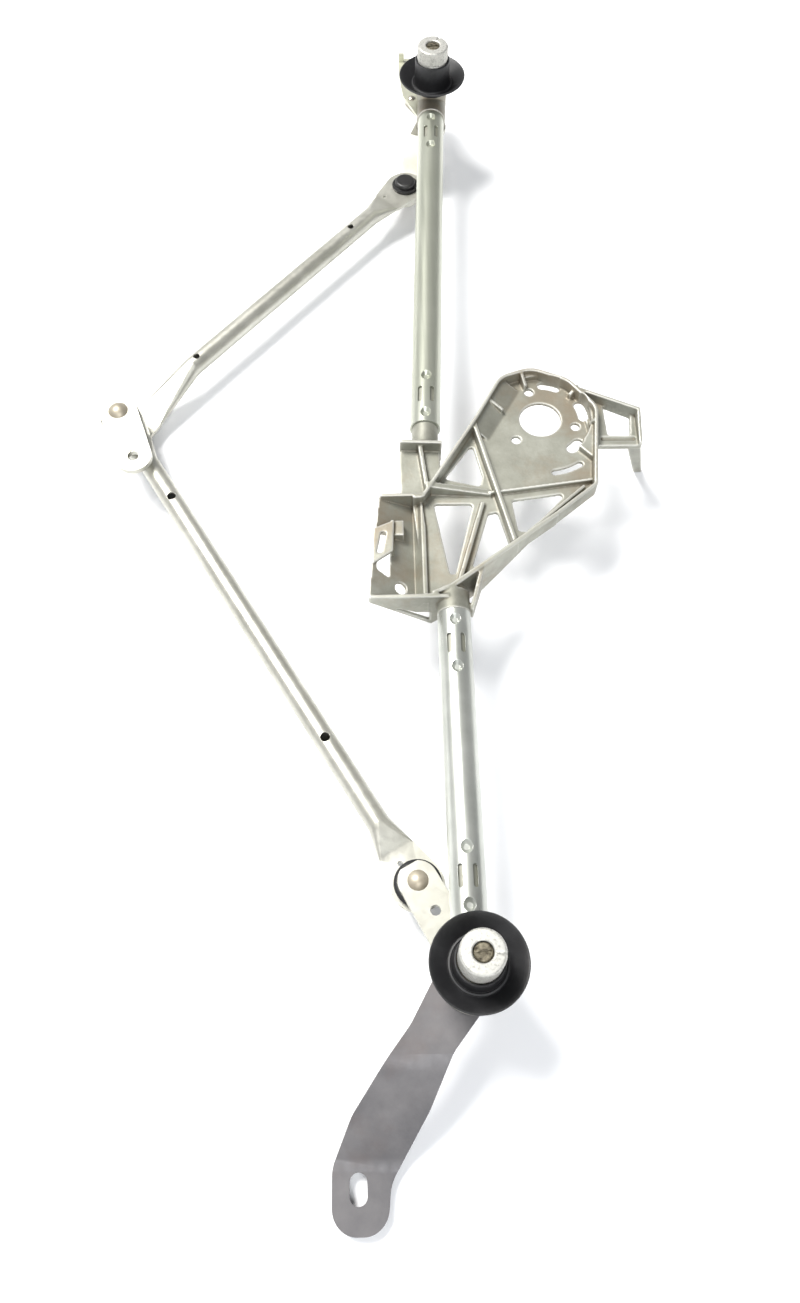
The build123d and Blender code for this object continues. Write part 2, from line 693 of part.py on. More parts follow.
def arc_slot(radius, start, end, width):
    """A curved slot around the motor centre, as a cutter."""
    line = CenterArc((0, 0), radius, start, end - start)
    face = Pos(MOTOR_CENTRE[0], MOTOR_CENTRE[1]) * SlotArc(line, width)
    return slab(face, WEB_BOTTOM - 5, WEB_TOP + 12)


def motor_plate_cuts():
    """The shaft opening, bolt holes and slots of the motor plate."""
    cuts = [disc(MOTOR_HOLE_RADIUS, 50, 80, MOTOR_CENTRE)]
    for angle in MOTOR_BOLT_ANGLES:
        at = polar(MOTOR_CENTRE, MOTOR_BOLT_CIRCLE, angle)
        cuts.append(disc(MOTOR_BOLT_RADIUS, 50, 80, at))
    cuts.append(arc_slot(31.2, 64.0, 84.0, 5.6))
    cuts.append(arc_slot(31.8, 3.0, 22.0, 7.6))
    cuts.append(arc_slot(33.5, -52.0, -41.0, 7.6))
    cuts.append(arc_slot(47.5, -82.0, -58.0, 4.4))
    return cuts


def motor_ledge():
    """The raised step around the outside of the motor plate, with three short radial ribs."""
    sector = [MOTOR_CENTRE]
    for angle in (-48, 0, 50, 106):
        sector.append(polar(MOTOR_CENTRE, 90.0, angle))
    wedge = slab(make_face(Polyline(*sector, close=True)), WEB_BOTTOM, RIM_TOP)
    band = disc(60.0, WEB_BOTTOM, WEB_TOP + 5.0, MOTOR_CENTRE) - disc(36.2, 40, 80, MOTOR_CENTRE)
    body = band & wedge & slab(tray_outline(), WEB_BOTTOM, RIM_TOP)
    for angle in (108.0, 40.0, -12.0):
        inner = polar(MOTOR_CENTRE, 29.0 if angle > 0 else 35.0, angle)
        outer = polar(MOTOR_CENTRE, 37.5, angle)
        body += wall(inner, outer, 2.4, WEB_TOP - 1, (WEB_TOP + 5, RIM_TOP - 1))
    return body


def bracket_arm():
    """The arm right of the motor plate, with its window, rim, end wall and leg."""
    outline = [(96.0, 408.5), (138.5, 388.5), (138.0, 361.0), (103.0, 361.5)]
    body = slab(rounded(outline, 1.5), WEB_BOTTOM, WEB_TOP + 1.5)
    body += wall((95.0, 407.6), (138.0, 387.6), RIM_WALL, WEB_BOTTOM, (RIM_TOP, RIM_TOP))
    body += wall((137.2, 388.4), (136.7, 361.0), RIM_WALL, WEB_BOTTOM, (RIM_TOP, RIM_TOP - 5))
    window_points = [(113.6, 398.0), (132.3, 388.3), (130.5, 370.5), (114.4, 371.0)]
    body -= slab(rounded(window_points, 1.5), WEB_BOTTOM - 5, WEB_TOP + 5)
    groove_points = [(109.0, 369.5), (134.0, 369.0), (134.0, 365.8), (109.0, 366.0)]
    return body - slab(rounded(groove_points, 1.2), WEB_TOP, RIM_TOP)


def bracket_leg():
    """The tapered leg that stands on the ground plane."""
    foot = Plane((151.0, 388.5, 0)) * Rectangle(6.5, 5.5)
    top = Plane((133.0, 365.0, WEB_BOTTOM + 1)) * Rectangle(10.0, 7.0)
    return loft([foot.face(), top.face()])


def left_plate():
    """The sloping plate left of the truss, with its two end walls, ridge, raised tab and hole."""
    section = make_face(
        Plane.XZ
        * Polyline(
            PLATE_EDGE,
            (-27.5, 60.2),
            (-22.5, 68.0),
            (-19.5, 68.0),
            (-18.0, 56.9),
            (-27.5, 56.9),
            (PLATE_EDGE[0], PLATE_EDGE[1] - PLATE_THICK),
            close=True,
        )
    )
    body = Pos(0, 276, 0) * extrude(section, 60, both=True)
    plan = [(-59.2, 235.2), (-19.0, 234.6), (-15.0, 240.0), (-21.5, 318.0), (-51.1, 318.0)]
    body &= slab(rounded(plan, 1.0), 50, RIM_TOP)
    for start, end in (((-50.4, 316.7), (-22.0, 316.7)), ((-58.2, 236.4), (-20.0, 236.8))):
        body += wall(start, end, RIM_WALL, 57.5, (RIM_TOP, RIM_TOP)) - below_plate()
    return body


def below_plate():
    """Everything under the sloping plate, used to trim what stands on it."""
    section = make_face(
        Plane.XZ * Polyline((-80, 20), (-80, 82.47), (-27.5, 56.9), (-27.5, 20), close=True)
    )
    return Pos(0, 276, 0) * extrude(section, 100, both=True)


def left_plate_details():
    """The raised slotted tab and the square boss of the sloping plate."""
    tab_points = [(-55.6, 289.5), (-41.0, 296.0), (-42.4, 271.3), (-57.0, 261.0)]
    body = slab(rounded(tab_points, 1.0), RIM_TOP - 2.6, RIM_TOP)
    body += wall((-42.2, 296.0), (-43.2, 272.0), 2.2, 50, (RIM_TOP, RIM_TOP)) - below_plate()
    body += Pos(-37.5, 291.5, 66) * Box(6.0, 12.0, 12.0) - below_plate()
    slot = slot_face(((-48.6, 285.0), (-51.2, 271.5)), 3.4)
    return body - slab(slot, 60, 80)


def left_plate_cuts():
    """The notch beside the tab and the round hole."""
    notch_points = [(-62.0, 264.0), (-45.0, 254.0), (-43.8, 288.0), (-57.0, 288.0)]
    notch = slab(rounded(notch_points, 1.0), 40, RIM_TOP - 2.7)
    run = PLATE_HOLE[0] - PLATE_EDGE[0]
    middle = PLATE_EDGE[1] - run * PLATE_FALL[0] / PLATE_FALL[1] - PLATE_THICK / 2
    hole = Pos(PLATE_HOLE[0], PLATE_HOLE[1], middle) * Rot(0, PLATE_SLOPE, 0)
    return [notch, hole * Cylinder(PLATE_HOLE_RADIUS, 14)]


def upper_tube_root():
    """The seat of the upper spigot: a floor, an end wall and a rib along the middle."""
    floor_points = [(-36.0, 315.5), (-36.0, 362.5), (-7.5, 360.0), (-7.0, 338.0), (-20.0, 315.5)]
    body = slab(rounded(floor_points, 1.0), WEB_BOTTOM, WEB_TOP)
    body += wall((-36.0, 362.6), (-6.0, 361.0), RIM_WALL, 53.5, (RIM_TOP, RIM_TOP))
    body += wall((-21.5, 361.0), (-17.0, 322.0), RIB_WALL, WEB_TOP - 1, (RIM_TOP - 3, RIM_TOP - 5))
    local_end = (SPINDLE_PITCH - 361.5) / math.cos(math.radians(TUBE_TILT))
    root = spigot(UPPER_TUBE_END - SPIGOT_LENGTH, local_end, UPPER_TUBE_END, -1)
    return body + upper_tube_place() * root


def lower_tube_root():
    """The seat of the lower spigot: a round socket with a gusset on each side."""
    body = lower_tube_place() * spigot(LOWER_TUBE_END - SPIGOT_LENGTH, 246.0, LOWER_TUBE_END, -1)
    body += lower_tube_place() * along_y(TUBE_RADIUS, LOWER_TUBE_END + 0.3, 243.0)
    outline = [(-59, RIM_TOP), (-59, 68), (-17, 37), (-6, 50), (-6, RIM_TOP)]
    gusset = upright((0, 236.3), 0, RIM_WALL, outline)
    opening = [(-45.5, 61.8), (-27.5, 53.6), (-18.5, 53.6), (-18.5, 42.4)]
    gusset -= upright((0, 236.3), 0, 10, opening)
    body += gusset
    root, corner = (9.0, 229.5), (17.5, 259.0)
    span, turn = heading(root, corner)
    body += upright(root, turn, 2.8, [(0, 56), (span, 41), (span, 74), (span / 2, 74), (0, 67)])
    return body


def deep_rim():
    """The outer wall of the lower edge, which hangs below the web towards the lower spigot."""
    start, end = (-2.0, 244.6), (70.5, 298.6)
    span, turn = heading(start, end)
    corners = [(0, 46), (14, 41), (26, 40.5), (65, WEB_BOTTOM), (span, WEB_BOTTOM), (span, RIM_TOP)]
    return upright(start, turn, RIM_WALL, [*corners, (0, RIM_TOP)])


def truss_ribs():
    """The upright ribs that stiffen the truss."""
    return [
        wall((17.5, 382.0), (41.5, 275.5), RIB_WALL, WEB_BOTTOM, (RIM_TOP - 2, RIM_TOP - 2)),
        wall((26.0, 321.5), (101.0, 331.5), 1.8, WEB_BOTTOM, (WEB_TOP + 4, WEB_TOP + 4)),
        wall((-18.5, 325.2), (27.0, 322.0), 4.6, WEB_BOTTOM, (RIM_TOP, WEB_TOP + 3)),
        wall((21.0, 314.0), (1.0, 247.5), 3.0, WEB_BOTTOM, (WEB_TOP + 3, WEB_TOP + 5)),
        wall((50.5, 288.5), (93.0, 326.0), 2.2, WEB_BOTTOM, (WEB_TOP + 3.5, WEB_TOP + 3.5)),
        wall((29.0, 402.0), (40.0, 393.0), 2.2, WEB_BOTTOM, (RIM_TOP - 2, RIM_TOP - 5)),
    ]


def motor_plate_slope():
    """The slanting face between the upper left rim and the motor plate."""
    low = WEB_TOP - 1
    section = make_face(Plane.XZ * Polyline((0, low), (16, low), (0, low + 8), close=True))
    length, turn = heading((16.0, 376.0), (41.0, 420.0))
    ramp = extrude(section, length / 2, both=True)
    ramp = Pos(28.5, 398.0, 0) * Rot(0, 0, turn - 90) * ramp
    return ramp & slab(tray_outline(), WEB_BOTTOM, RIM_TOP)


def motor_bracket():
    """The die-cast bracket that joins both tubes and carries the motor."""
    tray = slab(tray_outline(), WEB_BOTTOM, RIM_TOP)
    tray -= slab(offset(tray_outline(), -RIM_WALL), WEB_TOP, RIM_TOP + 1)
    open_side = rounded([(-40, 238.2), (-17.0, 238.2), (-17.0, 313.8), (-40, 313.8)], 0.5)
    tray -= slab(open_side, WEB_TOP, RIM_TOP + 1)
    body = tray + motor_ledge() + motor_plate_slope()
    for cutter in truss_windows():
        body -= cutter
    body += bracket_arm()
    body += left_plate()
    for rib in truss_ribs():
        body += rib
    for cutter in motor_plate_cuts() + left_plate_cuts():
        body -= cutter
    body += left_plate_details()
    body += upper_tube_root()
    body += lower_tube_root()
    body += deep_rim()
    body += bracket_leg()
    return body


# --- assembly ------------------------------------------------------------------------------------
def frame_parts():
    """Every piece that stays still."""
    parts = {
        "motor_bracket": motor_bracket(),
        "upper_tube": upper_tube(),
        "lower_tube": lower_tube(),
        "lower_pivot_housing": pivot_housing("lower", LOWER_TUBE_START, lower_tube_place(), ARM_LEVEL),
        "upper_pivot_housing": pivot_housing(
            "upper", UPPER_TUBE_START, upper_tube_place(), LUG_LEVEL - ARM_SHEET - FLANGE_THICK
        ),
        "mounting_arm": mounting_arm(),
        "mounting_arm_rivets": rivets("lower", ARM_LEVEL - ARM_SHEET, ARM_LEVEL + FLANGE_THICK),
        "upper_mounting_lug": upper_mounting_lug(),
        "upper_lug_rivets": rivets("upper", LUG_LEVEL - ARM_SHEET - FLANGE_THICK, LUG_LEVEL),
    }
    for end, centre in (("lower", LOWER_SPINDLE), ("upper", UPPER_SPINDLE)):
        parts[end + "_boot"] = boot(end)
        parts[end + "_bush_bottom"] = bush(BARREL_BOTTOM, centre)
        parts[end + "_bush_top"] = bush(BARREL_TOP[end] - BUSH_LENGTH, centre)
    return parts


def spindle_parts():
    """Both spindles with what turns with them."""
    parts = {}
    for end, centre in (("lower", LOWER_SPINDLE), ("upper", UPPER_SPINDLE)):
        above = BARREL_TOP[end] + 0.1
        parts[end + "_spindle"] = spindle(centre)
        parts[end + "_drive_head"] = drive_head(end, -5.0 if end == "lower" else 60.0)
        parts[end + "_top_washer"] = washer(centre, above, 1.0, 10.0)
        parts[end + "_retaining_ring"] = retaining_ring(centre, above + 1.02)
        parts[end + "_thrust_washer"] = washer(centre, CRANK_TOP + 0.02, 0.9, 10.5)
    parts["lower_crank"] = flat_crank(LOWER_SPINDLE, LOWER_BALL)
    parts["upper_crank"] = joggled_crank(UPPER_SPINDLE, UPPER_BALL)
    parts["lower_ball_stud"] = ball_stud(LOWER_BALL, LOWER_JOINT, CRANK_TOP - CRANK_SHEET, False)
    parts["upper_ball_stud"] = ball_stud(UPPER_BALL, UPPER_JOINT, LOW_CRANK_TOP - CRANK_SHEET, True)
    return parts


def link_parts():
    """The rods, their sockets and the motor crank."""
    seal_bottom = LOWER_JOINT + ROD_FLAT / 2 + 2.55
    seal_top = CRANK_TOP - CRANK_SHEET - 0.3
    socket_hole = SOCKET_RADIUS + PRESS_GAP
    cup_hole = OPEN_BALL_RADIUS + OPEN_CLEARANCE + CUP_WALL + PRESS_GAP
    parts = {
        "lower_link_rod": link_rod(
            (LOWER_BALL, DOUBLE_STUD),
            (LOWER_JOINT, LOWER_JOINT),
            ROD_ROUND_START,
            "lower",
            (socket_hole, socket_hole),
        ),
        "upper_link_rod": link_rod(
            (UPPER_BALL, OPEN_CENTRE),
            (UPPER_JOINT, OPEN_JOINT),
            ROD_KINK,
            "upper",
            (socket_hole, cup_hole),
        ),
        "lower_rod_crank_socket": open_socket(LOWER_BALL, LOWER_JOINT, False),
        "lower_rod_motor_socket": open_socket(DOUBLE_STUD, LOWER_JOINT, True),
        "lower_rod_crank_seal": dust_seal(LOWER_BALL, seal_bottom, seal_top),
        "lower_rod_motor_seal": dust_seal(DOUBLE_STUD, seal_bottom, seal_top),
        "upper_rod_crank_socket": capped_socket(UPPER_BALL, UPPER_JOINT),
        "upper_rod_motor_socket": loose_socket(OPEN_CENTRE, OPEN_JOINT),
        "motor_crank": motor_crank(),
        "motor_crank_stud": double_ball_stud(),
    }
    return parts


def main():
    os.makedirs("parts", exist_ok=True)
    parts = {**frame_parts(), **spindle_parts(), **link_parts()}
    for name, shape in parts.items():
        export_step(Pos(0, 0, -HEAD_MID) * shape, os.path.join("parts", name + ".step"))


main()
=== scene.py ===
import bpy
import bmesh
import json
import math
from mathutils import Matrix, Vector


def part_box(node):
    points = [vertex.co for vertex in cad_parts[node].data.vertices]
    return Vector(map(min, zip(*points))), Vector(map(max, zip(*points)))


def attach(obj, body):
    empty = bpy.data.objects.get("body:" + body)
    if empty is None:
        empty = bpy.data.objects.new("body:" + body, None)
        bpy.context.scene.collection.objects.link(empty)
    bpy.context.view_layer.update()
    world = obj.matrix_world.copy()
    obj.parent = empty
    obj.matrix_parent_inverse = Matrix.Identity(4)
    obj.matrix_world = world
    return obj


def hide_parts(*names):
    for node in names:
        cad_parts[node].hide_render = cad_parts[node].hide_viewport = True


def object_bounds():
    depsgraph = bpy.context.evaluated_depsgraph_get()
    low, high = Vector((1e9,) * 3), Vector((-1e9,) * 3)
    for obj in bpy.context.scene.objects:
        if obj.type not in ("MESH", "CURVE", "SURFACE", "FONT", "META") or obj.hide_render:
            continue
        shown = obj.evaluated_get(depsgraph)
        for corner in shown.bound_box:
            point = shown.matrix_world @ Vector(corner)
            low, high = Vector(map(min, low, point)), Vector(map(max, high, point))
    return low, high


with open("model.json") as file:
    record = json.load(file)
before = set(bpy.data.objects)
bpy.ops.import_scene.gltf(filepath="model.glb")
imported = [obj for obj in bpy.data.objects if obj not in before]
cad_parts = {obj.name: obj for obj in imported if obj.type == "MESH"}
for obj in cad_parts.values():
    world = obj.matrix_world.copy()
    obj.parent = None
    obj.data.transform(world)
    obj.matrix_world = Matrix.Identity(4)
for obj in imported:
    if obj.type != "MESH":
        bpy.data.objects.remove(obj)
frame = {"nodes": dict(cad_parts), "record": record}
nodes = frame["nodes"]
cad_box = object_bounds()
MM = 0.001
FLOOR = cad_box[0].z
SHARP_EDGE = math.radians(28)
EDGE_ROUNDING = 0.35 * MM
CAST_VOXEL = 0.62 * MM
CAST_NODES = ("motor_bracket", "lower_pivot_housing", "upper_pivot_housing")
KNURL_TEETH = 84
KNURL_STEPS = 4
KNURL_DEPTH = 0.45 * MM
SPLINE_TEETH = 30
SPLINE_DEPTH = 0.45 * MM
BORE_RADIUS = 6.02 * MM
TIP_RADIUS = 5.2 * MM
TIP_HOLE_RADIUS = 5.8 * MM
TIP_HOLE_DEPTH = 5.0 * MM
SPLINE_BOTTOM = 3.6 * MM
SPLINE_TOP = 0.45 * MM
NOTCH_DEPTH = 1.6 * MM
NOTCH_SHARE = {0: 0.6, 1: 1.0, 2: 1.0, 3: 0.5}
CROWN_DROP = {"lower": 22 * MM, "upper": 11.5 * MM}
NOTCH_ANGLE = {"lower": -5.0, "upper": 60.0}
PART_MIDDLE = (0.0, 0.35, 0.0)
FLOOR_SIZE = 6.0
FLOOR_GAP = 0.0004
CAMERA_PLACE = (-0.04577, -0.10214, 0.675 + FLOOR)
CAMERA_TILT = 26.4
CAMERA_TURN = -1.2513
CAMERA_LENS = 29.01
SENSOR_HEIGHT = 36.0


# --- node helpers ------------------------------------------------------------------------------
def new_material(name):
    """A material with a fresh Principled shader; returns it with its nodes, links and shader."""
    material = bpy.data.materials.new(name)
    material.use_nodes = True
    tree = material.node_tree
    shader = tree.nodes["Principled BSDF"]
    return material, tree.nodes, tree.links, shader


def object_space(tree_nodes, links, scale):
    """Object coordinates stretched by a scale on each axis."""
    coords = tree_nodes.new("ShaderNodeTexCoord")
    mapping = tree_nodes.new("ShaderNodeMapping")
    mapping.inputs["Scale"].default_value = scale
    links.new(coords.outputs["Object"], mapping.inputs["Vector"])
    return mapping.outputs["Vector"]


def noise_field(tree_nodes, links, vector, scale, detail, rough):
    """A noise texture's factor output."""
    texture = tree_nodes.new("ShaderNodeTexNoise")
    texture.inputs["Scale"].default_value = scale
    texture.inputs["Detail"].default_value = detail
    texture.inputs["Roughness"].default_value = rough
    links.new(vector, texture.inputs["Vector"])
    return texture.outputs["Fac"]


def colour_ramp(tree_nodes, links, factor, stops):
    """A colour ramp over a factor; stops are (position, colour) pairs."""
    ramp = tree_nodes.new("ShaderNodeValToRGB")
    elements = ramp.color_ramp.elements
    while len(elements) < len(stops):
        elements.new(0.5)
    for element, (position, colour) in zip(elements, stops):
        element.position = position
        element.color = (*colour, 1.0)
    links.new(factor, ramp.inputs["Fac"])
    return ramp.outputs["Color"]


def mix_colour(tree_nodes, links, factor, first, second):
    """Two colours mixed by a factor."""
    mix = tree_nodes.new("ShaderNodeMix")
    mix.data_type = "RGBA"
    links.new(factor, mix.inputs[0])
    for socket, value in ((mix.inputs[6], first), (mix.inputs[7], second)):
        if isinstance(value, tuple):
            socket.default_value = (*value, 1.0)
        else:
            links.new(value, socket)
    return mix.outputs[2]


def map_range(tree_nodes, links, value, low, high, to_low, to_high):
    """A value moved from one range to another."""
    node = tree_nodes.new("ShaderNodeMapRange")
    node.inputs["From Min"].default_value = low
    node.inputs["From Max"].default_value = high
    node.inputs["To Min"].default_value = to_low
    node.inputs["To Max"].default_value = to_high
    links.new(value, node.inputs["Value"])
    return node.outputs["Result"]


def rounded_normal(tree_nodes, radius):
    """A normal that rounds sharp edges over a small radius."""
    node = tree_nodes.new("ShaderNodeBevel")
    node.samples = 4
    node.inputs["Radius"].default_value = radius
    return node.outputs["Normal"]


def bump(tree_nodes, links, height, strength, distance, normal):
    """A bump node over a height field."""
    node = tree_nodes.new("ShaderNodeBump")
    node.inputs["Strength"].default_value = strength
    node.inputs["Distance"].default_value = distance
    links.new(height, node.inputs["Height"])
    links.new(normal, node.inputs["Normal"])
    return node.outputs["Normal"]


# --- materials ---------------------------------------------------------------------------------
def plated_metal(
    name, dark, light, roughness, stretch,
    metallic=0.9, stain=None, far_tint=None, cloud_scale=28.0,
):
    """Plated metal: cloudy colour and fine drawing lines, with stains and a far-end tint if given."""
    material, tree, links, shader = new_material(name)
    plain = object_space(tree, links, (1, 1, 1))
    cloud = noise_field(tree, links, plain, cloud_scale, 6.0, 0.6)
    colour = colour_ramp(tree, links, cloud, [(0.32, dark), (0.68, light)])
    streak = noise_field(tree, links, object_space(tree, links, stretch), 260.0, 3.0, 0.5)
    if stain is not None:
        patch = noise_field(tree, links, plain, 11.0, 5.0, 0.65)
        patch = map_range(tree, links, patch, 0.52, 0.72, 0.0, 0.6)
        colour = mix_colour(tree, links, patch, colour, stain)
    if far_tint is not None:
        axes = tree.new("ShaderNodeSeparateXYZ")
        links.new(plain, axes.inputs[0])
        far = map_range(tree, links, axes.outputs["Y"], 0.30, 0.42, 0.0, 0.75)
        colour = mix_colour(tree, links, far, colour, far_tint)
    links.new(colour, shader.inputs["Base Color"])
    shader.inputs["Metallic"].default_value = metallic
    rough = map_range(tree, links, streak, 0.3, 0.7, roughness - 0.05, roughness + 0.08)
    links.new(rough, shader.inputs["Roughness"])
    grain = noise_field(tree, links, plain, 900.0, 2.0, 0.5)
    normal = rounded_normal(tree, EDGE_ROUNDING)
    normal = bump(tree, links, streak, 0.05, 0.00012, normal)
    normal = bump(tree, links, grain, 0.10, 0.00010, normal)
    links.new(normal, shader.inputs["Normal"])
    return material


def cast_metal(name):
    """Die-cast aluminium: warm grey, mottled, with brownish stains, a fine pebbled skin, painted
    highlights on sharp outer edges and painted shade in creases.
    """
    material, tree, links, shader = new_material(name)
    plain = object_space(tree, links, (1, 1, 1))
    cloud = noise_field(tree, links, plain, 24.0, 7.0, 0.62)
    colour = colour_ramp(
        tree, links, cloud,
        [(0.30, (0.20, 0.20, 0.165)), (0.52, (0.30, 0.30, 0.255)), (0.74, (0.43, 0.43, 0.375))],
    )
    patch = noise_field(tree, links, plain, 13.0, 6.0, 0.7)
    patch = map_range(tree, links, patch, 0.48, 0.66, 0.0, 0.75)
    colour = mix_colour(tree, links, patch, colour, (0.245, 0.195, 0.135))
    geometry = tree.new("ShaderNodeNewGeometry")
    # Painted highlight: convex rims and outer corners are lightened towards pale grey by pointiness.
    painted_edge_highlight = map_range(tree, links, geometry.outputs["Pointiness"], 0.505, 0.55, 0.0, 0.9)
    colour = mix_colour(tree, links, painted_edge_highlight, colour, (0.60, 0.595, 0.55))
    # Painted shade: concave creases and inner corners are darkened towards dark brown by pointiness.
    painted_crease_shade = map_range(tree, links, geometry.outputs["Pointiness"], 0.495, 0.455, 0.0, 0.8)
    colour = mix_colour(tree, links, painted_crease_shade, colour, (0.13, 0.105, 0.07))
    links.new(colour, shader.inputs["Base Color"])
    shader.inputs["Metallic"].default_value = 0.55
    links.new(map_range(tree, links, cloud, 0.3, 0.7, 0.58, 0.44), shader.inputs["Roughness"])
    pebble = noise_field(tree, links, plain, 520.0, 4.0, 0.6)
    flow = noise_field(tree, links, plain, 70.0, 3.0, 0.5)
    normal = rounded_normal(tree, EDGE_ROUNDING)
    normal = bump(tree, links, pebble, 0.35, 0.00025, normal)
    normal = bump(tree, links, flow, 0.22, 0.0007, normal)
    links.new(normal, shader.inputs["Normal"])
    return material


def machined_metal(name):
    """Bare machined aluminium, speckled and nicked, with fine turning rings."""
    material, tree, links, shader = new_material(name)
    plain = object_space(tree, links, (1, 1, 1))
    speckle = noise_field(tree, links, plain, 620.0, 5.0, 0.7)
    stops = [
        (0.30, (0.24, 0.235, 0.215)),
        (0.43, (0.50, 0.495, 0.46)),
        (0.62, (0.60, 0.595, 0.555)),
    ]
    links.new(colour_ramp(tree, links, speckle, stops), shader.inputs["Base Color"])
    shader.inputs["Metallic"].default_value = 0.65
    shader.inputs["Roughness"].default_value = 0.46
    turning = noise_field(tree, links, object_space(tree, links, (0.05, 0.05, 1)), 900.0, 2.0, 0.5)
    normal = bump(tree, links, turning, 0.15, 0.0001, rounded_normal(tree, EDGE_ROUNDING))
    normal = bump(tree, links, speckle, 0.20, 0.00018, normal)
    links.new(normal, shader.inputs["Normal"])
    return material


def rubber(name, colour, roughness):
    """Moulded rubber or plastic with a dusty bloom and a fine skin."""
    material, tree, links, shader = new_material(name)
    plain = object_space(tree, links, (1, 1, 1))
    dust = noise_field(tree, links, plain, 45.0, 6.0, 0.7)
    dust = map_range(tree, links, dust, 0.48, 0.80, 0.0, 0.35)
    lighter = tuple(channel * 2.2 + 0.02 for channel in colour)
    links.new(mix_colour(tree, links, dust, colour, lighter), shader.inputs["Base Color"])
    rough = map_range(tree, links, dust, 0.0, 0.35, roughness, roughness + 0.15)
    links.new(rough, shader.inputs["Roughness"])
    skin = noise_field(tree, links, plain, 1500.0, 2.0, 0.5)
    normal = bump(tree, links, skin, 0.15, 0.00008, rounded_normal(tree, EDGE_ROUNDING))
    links.new(normal, shader.inputs["Normal"])
    return material


def make_materials():
    """One material for each slot of the record."""
    even = (1, 1, 1)
    return {
        "die_cast": cast_metal("die_cast_look"),
        "zinc_tube": plated_metal(
            "zinc_tube_look", (0.42, 0.435, 0.40), (0.57, 0.585, 0.545), 0.32, (1, 0.03, 1), 0.75,
            far_tint=(0.42, 0.435, 0.345),
        ),
        "zinc_sheet": plated_metal(
            "zinc_sheet_look", (0.40, 0.395, 0.345), (0.56, 0.555, 0.50), 0.40, even, 0.8
        ),
        "arm_steel": plated_metal(
            "arm_steel_look", (0.100, 0.097, 0.102), (0.165, 0.158, 0.160), 0.48, (1, 0.15, 1), 0.3,
            stain=(0.125, 0.095, 0.085),
        ),
        "lug_steel": plated_metal(
            "lug_steel_look", (0.50, 0.50, 0.40), (0.66, 0.66, 0.54), 0.40, even, 0.7
        ),
        "rivet_steel": plated_metal(
            "rivet_steel_look", (0.42, 0.39, 0.33), (0.60, 0.57, 0.50), 0.35, even
        ),
        "spindle_steel": plated_metal(
            "spindle_steel_look", (0.045, 0.038, 0.026), (0.38, 0.34, 0.25), 0.34, (1, 1, 0.1),
            cloud_scale=420.0,
        ),
        "head_aluminium": machined_metal("head_look"),
        "passivated_stud": plated_metal(
            "stud_look", (0.36, 0.32, 0.25), (0.54, 0.49, 0.39), 0.46, even, 0.7,
            stain=(0.30, 0.23, 0.14),
        ),
        "bronze": plated_metal(
            "bronze_look", (0.35, 0.25, 0.13), (0.55, 0.40, 0.22), 0.4, (1, 1, 0.2)
        ),
        "black_rubber": rubber("rubber_look", (0.010, 0.010, 0.011), 0.46),
        "black_plastic": rubber("plastic_look", (0.014, 0.014, 0.014), 0.36),
    }


# --- shading -----------------------------------------------------------------------------------
def smooth_by_angle_group():
    """A geometry group that shades faces smooth except across sharp edges."""
    group = bpy.data.node_groups.new("smooth_by_angle", "GeometryNodeTree")
    group.interface.new_socket("Geometry", in_out="INPUT", socket_type="NodeSocketGeometry")
    group.interface.new_socket("Geometry", in_out="OUTPUT", socket_type="NodeSocketGeometry")
    start = group.nodes.new("NodeGroupInput")
    end = group.nodes.new("NodeGroupOutput")
    faces = group.nodes.new("GeometryNodeSetShadeSmooth")
    faces.domain = "FACE"
    edges = group.nodes.new("GeometryNodeSetShadeSmooth")
    edges.domain = "EDGE"
    edges.inputs["Shade Smooth"].default_value = False
    angle = group.nodes.new("GeometryNodeInputMeshEdgeAngle")
    sharp = group.nodes.new("FunctionNodeCompare")
    sharp.data_type = "FLOAT"
    sharp.operation = "GREATER_THAN"
    sharp.inputs[1].default_value = SHARP_EDGE
    links = group.links
    links.new(start.outputs[0], faces.inputs["Geometry"])
    links.new(faces.outputs["Geometry"], edges.inputs["Geometry"])
    links.new(angle.outputs["Unsigned Angle"], sharp.inputs[0])
    links.new(sharp.outputs[0], edges.inputs["Selection"])
    links.new(edges.outputs["Geometry"], end.inputs[0])
    return group


def shade_by_angle(piece, group):
    """Smooth curved faces and crisp edges on a piece, with flat faces kept flat."""
    weld = piece.modifiers.new("weld", "WELD")
    weld.merge_threshold = 0.01 * MM
    shade = piece.modifiers.new("shade", "NODES")
    shade.node_group = group
    flat = piece.modifiers.new("flat", "WEIGHTED_NORMAL")
    flat.keep_sharp = True
    flat.weight = 80


# --- detailed pieces ---------------------------------------------------------------------------
def slot_of(name):
    """The record's material slot of a CAD node."""
    for entry in frame["record"]["subparts"]:
        if entry["node"] == name:
            return entry["material_slot"]
    raise ValueError(name)


def body_holding(name):
    """The body that a CAD node belongs to."""
    for body, members in frame["record"]["behaviour"]["bodies"].items():
        if name in members:
            return body
    raise ValueError(name)


def stand_in(piece, name, materials):
    """Puts a piece in the place of a CAD node, on its body and with its material."""
    bpy.context.scene.collection.objects.link(piece)
    slot = slot_of(name)
    piece.data.materials.clear()
    piece.data.materials.append(materials[slot])
    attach(piece, body_holding(name))
    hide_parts(name)


